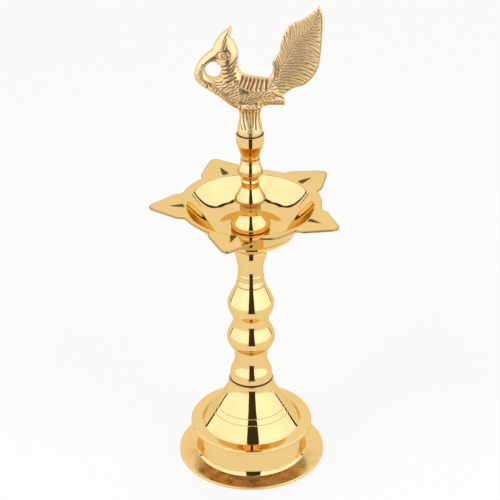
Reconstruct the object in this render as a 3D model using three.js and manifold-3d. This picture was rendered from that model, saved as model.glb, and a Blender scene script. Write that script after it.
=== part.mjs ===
// Standing oil lamp in cast and turned brass.
// A hollow base, a turned stem, a star-shaped dish, a turned spindle and a bird, held by three studs.
// Millimetres, +Z up. The lamp stands on z = 0 and the origin is below the middle of its outline.

import * as THREE from 'three';
import { mergeVertices } from 'three/addons/utils/BufferGeometryUtils.js';
import Module from 'manifold-3d';

const wasm = await Module();
wasm.setup();

// Base: a foot flange, a drum, a rolled bead and a bell-shaped dome, cast hollow
const base = {
  footRadius: 38.1,
  footEdge: 1.6,
  footEdgeRounding: 0.5,
  footRise: 0.7,
  drumFootRadius: 29.0,
  drumFillet: 1.0,
  drumTopRadius: 25.6,
  drumHeight: 14.2,
  beadRadius: 31.7,
  beadUndercut: 0.4,
  beadEdge: 0.9,
  beadCrestRadius: 31.3,
  beadCrest: 1.2,
  valleyRadius: 25.8,
  valleyDepth: 0.1,
  shoulderRadius: 14.9,
  coneHeight: 16.1,
  neckRadius: 11.5,
  neckHeight: 9.6,
  seatChamfer: 0.4,
  wall: 2.4,
  bossDepth: 13,
};

// Stem: a turned baluster with a collar, a waist, two bulbs, a beaded neck and a flared top
const stem = {
  collarRadius: 11.2,
  collarTopRadius: 10.6,
  collarHeight: 5.0,
  shoulderRadius: 10.0,
  shoulderHeight: 1.0,
  waistRadius: 8.4,
  waistDrop: 6.6,
  rimRadius: 9.9,
  rimRise: 6.6,
  stepRadius: 10.7,
  stepHeight: 0.6,
  lowerBulbRadius: 12.35,
  lowerBulbRise: 4.9,
  middleRadius: 9.35,
  middleDrop: 10.9,
  upperBulbRadius: 11.95,
  upperBulbRise: 8.8,
  creaseRadius: 11.0,
  creaseHeight: 3.6,
  taperRadius: 7.6,
  taperHeight: 8.6,
  coveRadius: 6.75,
  coveHeight: 3.0,
  beadRadius: 6.95,
  beadHeight: 2.0,
  neckRadius: 6.4,
  neckHeight: 2.8,
  flareRadius: 8.2,
  flareHeight: 9.4,
  topHeight: 3.2,
  edgeChamfer: 0.3,
};

// Dish: a conical bowl on a solid boss, with a flat lip drawn out into five points
const dish = {
  seatRadius: 8.3,
  coneRadius: 22.4,
  coneHeight: 10.2,
  floorThickness: 12,
  floorRadius: 19.5,
  depth: 13.9,
  mouthRadius: 32.8,
  mouthEase: 1.0,
  floorFillet: 4.0,
  wall: 2.4,
  lipThickness: 1.1,
  rimRadius: 35.6,
  points: 5,
  pointRadius: 50.3,
  pointTipWidth: 5.6,
  pointTipLength: 1.5,
  shoulderRadius: 37.5,
  shoulderWidth: 23.5,
  rootWidth: 25.6,
  firstPointAngle: 184.2,
  grooveLength: 8.4,
  grooveWidth: 4.8,
  grooveDepth: 1.3,
};

// Spindle: a bulb that stands in the bowl, a lower bell, a neck ring, an upper bell and a cup
const spindle = {
  footRadius: 8.8,
  bulbRadius: 9.95,
  bulbCrest: 1.8,
  bulbNeckRadius: 5.2,
  bulbNeckRise: 7.8,
  neckRadius: 5.4,
  neckHeight: 3.7,
  lowerBellRadius: 7.65,
  lowerBellUndercut: 2.4,
  lowerBellLip: 1.4,
  lowerBellTopRadius: 4.4,
  lowerBellHeight: 6.4,
  ringRadius: 4.4,
  ringHeight: 3.1,
  throatRadius: 3.8,
  throatHeight: 1.0,
  upperBellRadius: 6.3,
  upperBellUndercut: 3.2,
  upperBellLip: 1.8,
  upperBellTopRadius: 4.75,
  upperBellHeight: 6.0,
  grooveRadius: 4.45,
  grooveHeight: 0.5,
  cupRootRadius: 4.6,
  cupFlareRadius: 6.5,
  cupFlareHeight: 7.3,
  cupRadius: 6.85,
  cupTurn: 1.2,
  cupRim: 4.7,
  edgeChamfer: 0.3,
};

// Bird: one casting on a round pedestal, drawn on a grid of hundredths of its height
const bird = {
  height: 66.6,
  pedestalRadius: 6.15,
  pedestalFootHeight: 1.2,
  pedestalWaistRadius: 5.1,
  pedestalWaistHeight: 10.0,
  pedestalHeight: 18.0,
  pedestalTopRadius: 6.4,
  bodyThickness: 10.4,
  neckThickness: 7.6,
  headThickness: 7.0,
  crestThickness: 1.6,
  beakThickness: 6.0,
  tailThickness: 4.0,
  ventThickness: 5.0,
  loopWidth: 8.1,
  loopHeight: 9.8,
};

// Studs: radius, and how far each runs into the piece below and the piece above
const stemStud = { radius: 4.0, below: 11.0, above: 12.5, chamfer: 0.6 };
const centreStud = { radius: 3.0, below: 12.0, above: 9.0, chamfer: 0.5 };
const birdStud = { radius: 2.5, below: 7.5, above: 8.5, chamfer: 0.4 };
const studClearance = 0.3;
const holeEndClearance = 1.0;

// How far a cutting shape runs past the face it cuts through
const cutMargin = 1.0;

// Facets
const baseSides = 42;
const stemSides = 36;
const dishSides = 60;
const spindleSides = 28;
const pedestalSides = 24;
const studSides = 16;

// How the radius and the height run along one stretch of a turned outline, for t from 0 to 1
const quarter = Math.PI / 2;
const stretchForms = {
  line: (t) => [t, t],
  ease: (t) => [(1 - Math.cos(Math.PI * t)) / 2, t],
  toUpright: (t) => [Math.sin(quarter * t), t],
  fromUpright: (t) => [1 - Math.cos(quarter * t), t],
  uprightToLevel: (t) => [1 - Math.cos(quarter * t), Math.sin(quarter * t)],
  levelToUpright: (t) => [Math.sin(quarter * t), 1 - Math.cos(quarter * t)],
};

// A turned outline, drawn stretch by stretch from one radius and height to the next
class TurnedOutline {
  constructor(radius, height) {
    this.points = [new THREE.Vector2(radius, height)];
  }

  go(form, radius, rise, steps = 1) {
    const start = this.points.at(-1);
    for (let i = 1; i <= steps; i += 1) {
      const [across, up] = stretchForms[form](i / steps);
      const point = new THREE.Vector2(start.x + (radius - start.x) * across, start.y + rise * up);
      this.points.push(point);
    }
    return this;
  }

  // A rounded corner: the outline sets off towards the corner and arrives from it
  round(cornerRadius, cornerRise, radius, rise, steps) {
    const start = this.points.at(-1);
    const corner = new THREE.Vector2(cornerRadius, start.y + cornerRise);
    const curve = new THREE.QuadraticBezierCurve(start, corner, new THREE.Vector2(radius, start.y + rise));
    this.points.push(...curve.getPoints(steps).slice(1));
    return this;
  }

  get height() {
    return this.points.at(-1).y;
  }

  closed() {
    return [...this.points, this.points[0].clone()];
  }
}

// LatheGeometry turns about Y, so the result is stood up on Z
function turned(points, sides) {
  return new THREE.LatheGeometry(points, sides).rotateX(quarter);
}

// A closed solid that can be joined and cut
function solid(geometry) {
  const bare = geometry.index ? geometry.toNonIndexed() : geometry.clone();
  bare.deleteAttribute('normal');
  bare.deleteAttribute('uv');
  const merged = mergeVertices(bare, 1e-4);
  const corners = merged.index.array;
  const kept = [];
  for (let i = 0; i < corners.length; i += 3) {
    const [a, b, c] = corners.slice(i, i + 3);
    if (a !== b && b !== c && c !== a) kept.push(a, b, c);
  }
  const vertProperties = new Float32Array(merged.attributes.position.array);
  const triVerts = new Uint32Array(kept);
  return new wasm.Manifold(new wasm.Mesh({ numProp: 3, vertProperties, triVerts }));
}

function geometryOf(manifold) {
  const mesh = manifold.getMesh();
  const geometry = new THREE.BufferGeometry();
  geometry.setAttribute('position', new THREE.BufferAttribute(new Float32Array(mesh.vertProperties), 3));
  geometry.setIndex(new THREE.BufferAttribute(new Uint32Array(mesh.triVerts), 1));
  geometry.computeVertexNormals();
  return geometry;
}

const castBrass = new THREE.MeshStandardMaterial({ color: 0xe0bf7c, roughness: 0.34, metalness: 1 });
const turnedBrass = new THREE.MeshStandardMaterial({ color: 0xe6c27a, roughness: 0.1, metalness: 1 });
const studBrass = new THREE.MeshStandardMaterial({ color: 0xc9a45c, roughness: 0.4, metalness: 1 });

function piece(name, geometry, material, seatHeight) {
  const mesh = new THREE.Mesh(geometry, material);
  mesh.name = name;
  mesh.position.z = seatHeight;
  return mesh;
}

// The dome's inside runs parallel to its outside cone, one wall in
function baseGeometry() {
  const b = base;
  const outside = new TurnedOutline(b.footRadius - b.footEdgeRounding, 0)
    .go('levelToUpright', b.footRadius, b.footEdgeRounding, 2)
    .go('line', b.footRadius, b.footEdge - 2 * b.footEdgeRounding)
    .go('uprightToLevel', b.footRadius - b.footEdgeRounding, b.footEdgeRounding, 2)
    .go('line', b.drumFootRadius, b.footRise)
    .go('levelToUpright', b.drumFootRadius - b.drumFillet, b.drumFillet, 3)
    .go('toUpright', b.drumTopRadius, b.drumHeight, 4)
    .go('line', b.beadRadius - b.beadUndercut, b.beadUndercut)
    .go('levelToUpright', b.beadRadius, b.beadUndercut)
    .go('line', b.beadRadius, b.beadEdge - b.beadUndercut)
    .go('uprightToLevel', b.beadCrestRadius, b.beadCrest, 3)
    .go('line', b.valleyRadius, -b.valleyDepth);
  const valley = outside.height;
  outside.go('line', b.shoulderRadius, b.coneHeight)
    .go('toUpright', b.neckRadius, b.neckHeight, 6)
    .go('line', b.neckRadius - b.seatChamfer, b.seatChamfer);
  const seat = outside.height;
  const holeRadius = stemStud.radius + studClearance;
  const slope = (b.valleyRadius - b.shoulderRadius) / b.coneHeight;
  const inset = b.wall * Math.hypot(1, slope);
  const roof = seat - b.bossDepth;
  const drumInside = b.drumTopRadius - b.wall;
  const footInside = b.drumFootRadius - b.drumFillet - b.wall;
  const insideAt = (height) => b.valleyRadius - inset - (height - valley) * slope;
  const drumCeiling = valley + (b.valleyRadius - inset - drumInside) / slope;
  outside.go('line', holeRadius, 0)
    .go('line', holeRadius, -b.bossDepth)
    .go('line', insideAt(roof), 0)
    .go('line', drumInside, drumCeiling - roof)
    .go('line', footInside, b.wall / 2 - drumCeiling)
    .go('line', footInside + b.wall / 2, -b.wall / 2);
  return { geometry: turned(outside.closed(), baseSides), seat };
}

function stemGeometry() {
  const s = stem;
  const lowerHole = stemStud.radius + studClearance;
  const lowerDepth = stemStud.above + holeEndClearance;
  const upperHole = centreStud.radius + studClearance;
  const upperDepth = centreStud.below + holeEndClearance;
  const outline = new TurnedOutline(0, lowerDepth)
    .go('line', lowerHole, 0)
    .go('line', lowerHole, -lowerDepth)
    .go('line', s.collarRadius - s.edgeChamfer, 0)
    .go('line', s.collarRadius, s.edgeChamfer)
    .go('line', s.collarTopRadius, s.collarHeight - s.edgeChamfer)
    .go('uprightToLevel', s.shoulderRadius, s.shoulderHeight, 2)
    .go('toUpright', s.waistRadius, s.waistDrop, 4)
    .go('fromUpright', s.rimRadius, s.rimRise, 4)
    .go('line', s.stepRadius, s.stepHeight)
    .go('toUpright', s.lowerBulbRadius, s.lowerBulbRise, 4)
    .go('ease', s.middleRadius, s.middleDrop, 7)
    .go('ease', s.upperBulbRadius, s.upperBulbRise, 6)
    .go('fromUpright', s.creaseRadius, s.creaseHeight, 2)
    .go('line', s.taperRadius, s.taperHeight)
    .go('toUpright', s.coveRadius, s.coveHeight, 2)
    .go('toUpright', s.beadRadius, s.beadHeight / 2, 1)
    .go('fromUpright', s.coveRadius, s.beadHeight / 2, 1)
    .go('toUpright', s.neckRadius, s.neckHeight, 1)
    .go('fromUpright', s.flareRadius, s.flareHeight, 5)
    .go('line', s.flareRadius, s.topHeight - s.edgeChamfer)
    .go('line', s.flareRadius - s.edgeChamfer, s.edgeChamfer);
  const seat = outline.height;
  outline.go('line', upperHole, 0)
    .go('line', upperHole, -upperDepth)
    .go('line', 0, 0);
  return { geometry: turned(outline.points, stemSides), seat };
}

// The star's outline: rim, root, shoulder and blunt tip, given along each point's axis and across it
function starShape() {
  const d = dish;
  const shape = new THREE.Shape();
  const step = (2 * Math.PI) / d.points;
  const rootAngle = Math.asin(d.rootWidth / 2 / d.rimRadius);
  const shoulder = d.shoulderWidth / 2;
  const halfTip = d.pointTipWidth / 2;
  const tip = d.pointRadius - d.pointTipLength;
  const bluntness = halfTip / 2;
  for (let i = 0; i < d.points; i += 1) {
    const axis = THREE.MathUtils.degToRad(d.firstPointAngle) + i * step;
    const at = (along, across) => [
      along * Math.cos(axis) - across * Math.sin(axis),
      along * Math.sin(axis) + across * Math.cos(axis),
    ];
    shape.absarc(0, 0, d.rimRadius, axis - step + rootAngle, axis - rootAngle, false);
    shape.lineTo(...at(d.shoulderRadius, -shoulder));
    shape.lineTo(...at(tip, -halfTip));
    shape.quadraticCurveTo(...at(d.pointRadius, -bluntness), ...at(d.pointRadius, 0));
    shape.quadraticCurveTo(...at(d.pointRadius, bluntness), ...at(tip, halfTip));
    shape.lineTo(...at(d.shoulderRadius, shoulder));
    shape.lineTo(...at(d.rimRadius * Math.cos(rootAngle), d.rootWidth / 2));
  }
  return shape;
}

// The lip is a flat star joined to a turned bowl, then the bowl, the stud hole and the grooves are cut
function dishGeometry() {
  const d = dish;
  const top = d.floorThickness + d.depth;
  const wallSlope = (d.mouthRadius - d.floorRadius) / d.depth;
  const inset = d.wall * Math.hypot(1, wallSlope);
  const outsideAt = (height) => d.mouthRadius + inset - (top - height) * wallSlope;
  const knee = top - (d.mouthRadius + inset - d.coneRadius) / wallSlope;
  const lipMiddle = top - d.lipThickness / 2;
  const filletRise = d.floorFillet / Math.hypot(1, wallSlope);
  const bowl = new TurnedOutline(0, 0)
    .go('line', d.seatRadius, 0)
    .go('line', d.coneRadius, d.coneHeight)
    .go('line', d.coneRadius, knee - d.coneHeight)
    .go('line', outsideAt(lipMiddle), lipMiddle - knee)
    .go('line', 0, 0);
  const lip = new THREE.ExtrudeGeometry(starShape(), {
    depth: d.lipThickness, bevelEnabled: false, curveSegments: 6,
  }).translate(0, 0, top - d.lipThickness);
  const hollow = new TurnedOutline(0, d.floorThickness)
    .go('line', d.floorRadius - d.floorFillet, 0)
    .round(d.floorRadius, 0, d.floorRadius + wallSlope * filletRise, filletRise, 5)
    .go('line', d.mouthRadius - wallSlope * d.mouthEase, d.depth - filletRise - d.mouthEase)
    .go('line', d.mouthRadius + d.mouthEase, d.mouthEase)
    .go('line', d.mouthRadius + d.mouthEase, cutMargin)
    .go('line', 0, 0);
  const hole = new TurnedOutline(0, -cutMargin)
    .go('line', centreStud.radius + studClearance, 0)
    .go('line', centreStud.radius + studClearance, d.floorThickness + 2 * cutMargin)
    .go('line', 0, 0);
  let body = solid(turned(bowl.points, dishSides)).add(solid(lip));
  body = body.subtract(solid(turned(hollow.points, dishSides)));
  body = body.subtract(solid(turned(hole.points, stemSides)));
  for (let i = 0; i < d.points; i += 1) {
    const groove = new THREE.ConeGeometry(d.grooveWidth / 2, d.grooveLength, 6)
      .rotateZ(-quarter)
      .rotateX(quarter)
      .scale(1, 1, (2 * d.grooveDepth) / d.grooveWidth)
      .translate(d.mouthRadius + d.grooveLength / 2, 0, top)
      .rotateZ(THREE.MathUtils.degToRad(d.firstPointAngle) + (i * 2 * Math.PI) / d.points);
    body = body.subtract(solid(groove));
  }
  return geometryOf(body);
}

function spindleGeometry() {
  const s = spindle;
  const lowerHole = centreStud.radius + studClearance;
  const lowerDepth = centreStud.above + holeEndClearance;
  const upperHole = birdStud.radius + studClearance;
  const upperDepth = birdStud.below + holeEndClearance;
  const outline = new TurnedOutline(0, lowerDepth)
    .go('line', lowerHole, 0)
    .go('line', lowerHole, -lowerDepth)
    .go('line', s.footRadius, 0)
    .go('toUpright', s.bulbRadius, s.bulbCrest, 3)
    .go('ease', s.bulbNeckRadius, s.bulbNeckRise, 7)
    .go('line', s.neckRadius, s.neckHeight)
    .go('fromUpright', s.lowerBellRadius, s.lowerBellUndercut, 4)
    .go('line', s.lowerBellRadius, s.lowerBellLip)
    .go('line', s.lowerBellTopRadius, s.lowerBellHeight)
    .go('line', s.ringRadius, s.ringHeight)
    .go('toUpright', s.throatRadius, s.throatHeight, 2)
    .go('fromUpright', s.upperBellRadius, s.upperBellUndercut, 4)
    .go('line', s.upperBellRadius, s.upperBellLip)
    .go('toUpright', s.upperBellTopRadius, s.upperBellHeight, 3)
    .go('line', s.grooveRadius, s.grooveHeight / 2)
    .go('line', s.cupRootRadius, s.grooveHeight / 2)
    .go('fromUpright', s.cupFlareRadius, s.cupFlareHeight, 4)
    .go('toUpright', s.cupRadius, s.cupTurn, 2)
    .go('line', s.cupRadius, s.cupRim)
    .go('line', s.cupRadius - s.edgeChamfer, s.edgeChamfer);
  const seat = outline.height;
  outline.go('line', upperHole, 0)
    .go('line', upperHole, -upperDepth)
    .go('line', 0, 0);
  return { geometry: turned(outline.points, spindleSides), seat };
}

// A limb of the bird lies between two edges drawn side-on and swells to a thickness between them.
// Each rib across it is an ellipse, and the thickness runs from root through middle to end.
function limb(firstEdge, secondEdge, thickness, ribs, around = 14) {
  const [root, middle, end] = thickness;
  const positions = [];
  const index = [];
  for (let i = 0; i <= ribs; i += 1) {
    const t = i / ribs;
    const a = firstEdge.getPoint(t);
    const b = secondEdge.getPoint(t);
    const half = (root * (1 - t) * (1 - 2 * t) + middle * 4 * t * (1 - t) + end * t * (2 * t - 1)) / 2;
    for (let k = 0; k < around; k += 1) {
      const turn = (2 * Math.PI * k) / around;
      const blend = (1 - Math.cos(turn)) / 2;
      positions.push(a.x + (b.x - a.x) * blend, half * Math.sin(turn), a.y + (b.y - a.y) * blend);
    }
  }
  const ring = (i, k) => i * around + (k % around);
  for (let i = 0; i < ribs; i += 1) {
    for (let k = 0; k < around; k += 1) {
      index.push(ring(i, k), ring(i + 1, k), ring(i + 1, k + 1));
      index.push(ring(i, k), ring(i + 1, k + 1), ring(i, k + 1));
    }
  }
  for (let k = 1; k < around - 1; k += 1) {
    index.push(ring(0, 0), ring(0, k), ring(0, k + 1));
    index.push(ring(ribs, 0), ring(ribs, k + 1), ring(ribs, k));
  }
  const geometry = new THREE.BufferGeometry();
  geometry.setAttribute('position', new THREE.BufferAttribute(new Float32Array(positions), 3));
  geometry.setIndex(index);
  const form = solid(geometry);
  if (form.volume() >= 0) return form;
  for (let i = 0; i < index.length; i += 3) [index[i + 1], index[i + 2]] = [index[i + 2], index[i + 1]];
  geometry.setIndex(index);
  return solid(geometry);
}

// The bird is drawn in hundredths of its height, across and up
const birdScale = bird.height / 100;
const loopCentre = new THREE.Vector2(-26.2, 51.2).multiplyScalar(birdScale);

function edge(...points) {
  return new THREE.SplineCurve(points.map(([across, up]) => new THREE.Vector2(across, up).multiplyScalar(birdScale)));
}

// The beak's inner edge runs round the loop a little inside its hole
function loopEdge(inset, fromDegrees, toDegrees) {
  const across = (bird.loopWidth / 2) * inset;
  const up = (bird.loopHeight / 2) * inset;
  const from = THREE.MathUtils.degToRad(fromDegrees);
  const to = THREE.MathUtils.degToRad(toDegrees);
  return new THREE.EllipseCurve(loopCentre.x, loopCentre.y, across, up, from, to, false);
}

function birdGeometry() {
  const b = bird;
  const neck = limb(
    edge([-23, 42], [-23, 51.5], [-25.5, 60], [-26.6, 67], [-24.3, 73.2], [-20.5, 79], [-13.6, 85]),
    edge([-3, 45], [-8.4, 54], [-8, 64.8], [-10.6, 73], [-13.7, 77], [-12.6, 81.5], [-12.6, 84.6]),
    [b.neckThickness, b.headThickness, b.crestThickness], 14);
  const beak = limb(
    edge([-20, 72], [-29.7, 65], [-36, 58.4], [-39.3, 51], [-40.1, 46.2], [-37.5, 41], [-30.8, 35.8], [-17, 26]),
    loopEdge(0.8, 60, 300),
    [b.headThickness * 0.8, b.beakThickness, b.neckThickness], 16);
  const body = limb(
    edge([-31, 44.4], [-20, 47], [-7, 47.6], [2.2, 46], [12.5, 44.6], [20, 45]),
    edge([-28.5, 34], [-20, 28], [-10, 22.4], [0, 20.5], [11, 22.8], [24, 29.5]),
    [b.neckThickness * 0.4, b.bodyThickness * 1.12, b.tailThickness], 12);
  const tail = limb(
    edge([12, 42], [16.6, 50], [16.3, 57.5], [21, 65], [22.7, 74], [27.4, 85], [37.5, 90], [45.2, 95.8], [49.3, 100]),
    edge([22, 29], [31, 35.6], [41, 39.8], [48.6, 50], [51, 63], [51.9, 78], [52.2, 92], [50, 99.8]),
    [b.tailThickness * 1.4, b.tailThickness, b.tailThickness * 0.5], 16, 12);
  const vent = limb(
    edge([2, 36], [14, 34], [25.4, 31]),
    edge([2, 19], [13, 22.8], [25.4, 22.4]),
    [b.bodyThickness, b.ventThickness * 1.3, b.ventThickness * 0.6], 6);
  const chest = limb(
    edge([-24, 40], [-10, 37], [6, 33]),
    edge([-20, 28], [-9, 20.5], [8, 19]),
    [b.neckThickness, b.bodyThickness, b.bodyThickness], 5);
  const hole = birdStud.radius + studClearance;
  const depth = birdStud.above + holeEndClearance;
  const pedestal = new TurnedOutline(0, 0)
    .go('line', b.pedestalRadius, 0)
    .go('line', b.pedestalRadius, b.pedestalFootHeight)
    .go('ease', b.pedestalWaistRadius, b.pedestalWaistHeight - b.pedestalFootHeight, 4)
    .go('fromUpright', b.pedestalTopRadius, b.pedestalHeight - b.pedestalWaistHeight, 4)
    .go('line', 0, 0);
  const bore = new TurnedOutline(0, -cutMargin)
    .go('line', hole, 0)
    .go('line', hole, depth + cutMargin)
    .go('line', 0, 0);
  const loop = new THREE.CylinderGeometry(0.5, 0.5, b.bodyThickness * 2, 24)
    .scale(b.loopWidth, 1, b.loopHeight)
    .translate(loopCentre.x, 0, loopCentre.y);
  let form = solid(turned(pedestal.points, pedestalSides));
  for (const part of [neck, beak, body, tail, vent, chest]) form = form.add(part);
  form = form.subtract(solid(loop));
  return geometryOf(form.subtract(solid(turned(bore.points, pedestalSides))));
}

function studGeometry({ radius, below, above, chamfer }) {
  const outline = new TurnedOutline(0, -below)
    .go('line', radius - chamfer, 0)
    .go('line', radius, chamfer)
    .go('line', radius, below + above - 2 * chamfer)
    .go('line', radius - chamfer, chamfer)
    .go('line', 0, 0);
  return turned(outline.points, studSides);
}

const baseTurning = baseGeometry();
const stemTurning = stemGeometry();
const spindleTurning = spindleGeometry();
const dishSeat = baseTurning.seat + stemTurning.seat;
const spindleSeat = dishSeat + dish.floorThickness;
const birdSeat = spindleSeat + spindleTurning.seat;

// The centre stud starts in the stem and passes through the dish into the spindle
const centreStudInDish = { ...centreStud, above: centreStud.above + dish.floorThickness };

const lamp = new THREE.Group();
lamp.add(
  piece('base', baseTurning.geometry, turnedBrass, 0),
  piece('stem_stud', studGeometry(stemStud), studBrass, baseTurning.seat),
  piece('stem', stemTurning.geometry, turnedBrass, baseTurning.seat),
  piece('dish', dishGeometry(), castBrass, dishSeat),
  piece('centre_stud', studGeometry(centreStudInDish), studBrass, dishSeat),
  piece('spindle', spindleTurning.geometry, turnedBrass, spindleSeat),
  piece('bird_stud', studGeometry(birdStud), studBrass, birdSeat),
  piece('bird', birdGeometry(), castBrass, birdSeat),
);

// The frame's origin lies below the middle of the lamp's outline, so the lamp's axis stands beside it
const outlineMiddle = new THREE.Box3().setFromObject(lamp).getCenter(new THREE.Vector3());
lamp.position.set(-outlineMiddle.x, -outlineMiddle.y, 0);

const model = new THREE.Group();
model.add(lamp);
model.updateMatrixWorld(true);

export default model;
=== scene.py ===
"""Standing oil lamp of turned and cast brass: a base, a stem, a star dish, a spindle and a bird."""
import math

import bmesh
import bpy
import numpy as np
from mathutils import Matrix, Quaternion, Vector


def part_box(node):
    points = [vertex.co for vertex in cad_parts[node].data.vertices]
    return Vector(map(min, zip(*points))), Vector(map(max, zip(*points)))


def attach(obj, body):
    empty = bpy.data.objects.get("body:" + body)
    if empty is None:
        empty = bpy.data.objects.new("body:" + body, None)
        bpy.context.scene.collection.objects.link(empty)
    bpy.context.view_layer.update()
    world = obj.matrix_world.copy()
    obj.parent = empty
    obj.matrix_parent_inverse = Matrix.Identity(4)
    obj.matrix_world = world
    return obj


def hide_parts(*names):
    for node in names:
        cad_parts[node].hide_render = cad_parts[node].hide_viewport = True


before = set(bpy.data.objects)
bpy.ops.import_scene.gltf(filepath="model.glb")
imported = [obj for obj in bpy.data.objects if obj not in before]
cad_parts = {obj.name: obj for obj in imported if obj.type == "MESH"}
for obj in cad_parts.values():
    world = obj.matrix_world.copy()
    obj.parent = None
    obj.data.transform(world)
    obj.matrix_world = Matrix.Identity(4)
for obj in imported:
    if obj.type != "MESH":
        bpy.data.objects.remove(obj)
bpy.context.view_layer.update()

# Camera
# A long lens stands about a metre off and looks down at the lamp from some thirty degrees.
# The lamp's axis is the middle of its stem, which stands a little beside the frame's origin.
MM = 0.001
stem_low, stem_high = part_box("stem")
AXIS = ((stem_low.x + stem_high.x) / 2, (stem_low.y + stem_high.y) / 2)
CAMERA_DISTANCE = 0.9005
CAMERA_HEIGHT = 0.6442
AIM_HEIGHT = 0.1216
LENS_MM = 148.95
CAMERA_ROLL = -0.005
CAMERA_SIDESTEP = -0.0003
FILM_WIDTH_MM = 36


def link(name, data):
    piece = bpy.data.objects.new(name, data)
    bpy.context.scene.collection.objects.link(piece)
    return piece


camera = link("camera", bpy.data.cameras.new("camera"))
camera.data.sensor_width = FILM_WIDTH_MM
camera.data.lens = LENS_MM
camera.location = (AXIS[0] + CAMERA_SIDESTEP, AXIS[1] - CAMERA_DISTANCE, CAMERA_HEIGHT)
sight = Vector((camera.location.x, AXIS[1], AIM_HEIGHT)) - camera.location
level = sight.to_track_quat("-Z", "Y")
camera.rotation_euler = (level @ Quaternion((0, 0, 1), CAMERA_ROLL)).to_euler()
bpy.context.scene.camera = camera
bpy.context.scene.view_settings.view_transform = "Standard"

# Studio
# A white table with a dark room beyond its front edge, and two tall white panels that curve round the
# lamp's sides. Polished brass shows all of it, so panels and dark are there for reflections alone.
FLOOR_SIZE = 6.0
TABLE_GAP = 0.05 * MM
PANEL_RADIUS = 1.3
SIDE_WALL = 0.5
PANEL_TOP_TURNS = (0, 43, 80, 108, 118, 122)
PANEL_TOP_RISE = (62.5, 62.5, 58.5, 43, 24, 10)
TOP_SLIT_RISE = (71, 68, 64.5, 51, 34, 20)
PANEL_LIGHT = 1.7
PANEL_FOOT_LIGHT = 1.02
OPENING_MIDDLE = 3.4
OPENING_HALF_ANGLE = 14.5
PANEL_END_ANGLE = 111.0
SLIT_ANGLE = 7.0
TABLE_EDGE = 0.165
TABLE_EDGE_WIDTH = 0.02
TABLE_EDGE_HALF_ANGLE = 21.0
BOWL_HEIGHT = 0.14
PANEL_WHITE, PANEL_FOOT_RISE = (0.92, 0.91, 1.12), 0.03
PANEL_PATCHES, PATCH_RANGE, PANEL_UNEVEN = 1.1, (0.3, 0.7), (0.88, 1.04)
PANEL_COLUMNS, OPENING_COLUMNS = 40, 9
ROOM_BROWN = (0.050, 0.040, 0.032)
TABLE_WHITE, TABLE_ROUGHNESS, TABLE_GLOSS, TABLE_SHOWN = (0.86, 0.86, 0.85, 1), 0.75, 0.2, 0.82
WHITE, AMBIENT = (1, 1, 1, 1), 0.55


def around(angle, radius, height):
    """A point at an angle in degrees from straight in front of the lamp, positive to its right."""
    turn = math.radians(angle)
    return (AXIS[0] + radius * math.sin(turn), AXIS[1] - radius * math.cos(turn), height)


def new_mesh(name, points, faces=()):
    mesh = bpy.data.meshes.new(name)
    mesh.from_pydata(points, [], faces)
    return mesh


def screen(name, foot, top, material):
    """A screen between two rows of points, which only reflections show."""
    count = len(foot)
    faces = [(i, i + 1, count + i + 1, count + i) for i in range(count - 1)]
    mesh = new_mesh(name, [*foot, *top], faces)
    mesh.materials.append(material)
    piece = link(name, mesh)
    piece.visible_camera = False
    piece.visible_diffuse = False
    piece.visible_shadow = False


def wall_row(turns, rise=None, height=0.0):
    """Points on the studio's wall, at a height, or as high as the bowl sees them at an angle of rise."""
    points = []
    for i, turn in enumerate(turns):
        far = min(PANEL_RADIUS, SIDE_WALL / max(abs(math.sin(math.radians(turn))), 1e-3))
        up = height if rise is None else BOWL_HEIGHT + far * math.tan(math.radians(rise[i]))
        points.append(around(turn, far, up))
    return points


def wire(tree, name, inputs):
    """Sets a node's inputs to values, or links them to a socket or to another node's first output."""
    for socket, value in inputs.items():
        if isinstance(value, bpy.types.Node):
            value = value.outputs[0]
        if isinstance(value, bpy.types.NodeSocket):
            tree.links.new(value, tree.nodes[name].inputs[socket])
        else:
            tree.nodes[name].inputs[socket].default_value = value


def node(tree, kind, inputs=None, **settings):
    """Adds a node with its settings and inputs. A kind without Node in it is a shader node's."""
    made = tree.nodes.new(kind if "Node" in kind else "ShaderNode" + kind)
    for setting, value in settings.items():
        setattr(made, setting, value)
    wire(tree, made.name, inputs or {})
    return made


def ranged(tree, value, low, high, to_low=0.0, to_high=1.0, **settings):
    """Carries a value from one range over to another."""
    inputs = {"Value": value, "From Min": low, "From Max": high, "To Min": to_low, "To Max": to_high}
    return node(tree, "MapRange", inputs, **settings)


def new_material(name):
    material = bpy.data.materials.new(name)
    material.use_nodes = True
    return material, material.node_tree


def glow(name, colour, strength):
    """A material that gives out light and takes none."""
    material, tree = new_material(name)
    tree.nodes.clear()
    light = node(tree, "Emission", {"Color": (*colour, 1), "Strength": strength}, name="light")
    node(tree, "OutputMaterial", {0: light})
    return material


def seen_as_background(tree):
    """One for rays from the camera or a reflection, and nought for the light that falls on things."""
    path = node(tree, "LightPath").outputs
    total = path["Is Camera Ray"]
    for other in ("Is Glossy Ray", "Is Transmission Ray"):
        total = node(tree, "Math", {0: total, 1: path[other]}, operation="MAXIMUM")
    return total


white_table, tree = new_material("white_table")
wire(tree, "Principled BSDF",
     {"Base Color": TABLE_WHITE, "Roughness": TABLE_ROUGHNESS, "Specular IOR Level": TABLE_GLOSS})
white = node(tree, "Emission", {"Color": WHITE})
share = node(tree, "Math", {0: seen_as_background(tree), 1: TABLE_SHOWN}, operation="MULTIPLY")
mix = node(tree, "MixShader", {0: share, 1: tree.nodes["Principled BSDF"], 2: white})
wire(tree, "Material Output", {0: mix})
half = FLOOR_SIZE / 2
corners = [(x * half, y * half, -TABLE_GAP) for x, y in ((-1, -1), (1, -1), (1, 1), (-1, 1))]
table_mesh = new_mesh("table", corners, [(0, 1, 2, 3)])
table_mesh.materials.append(white_table)
link("table", table_mesh)

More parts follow.
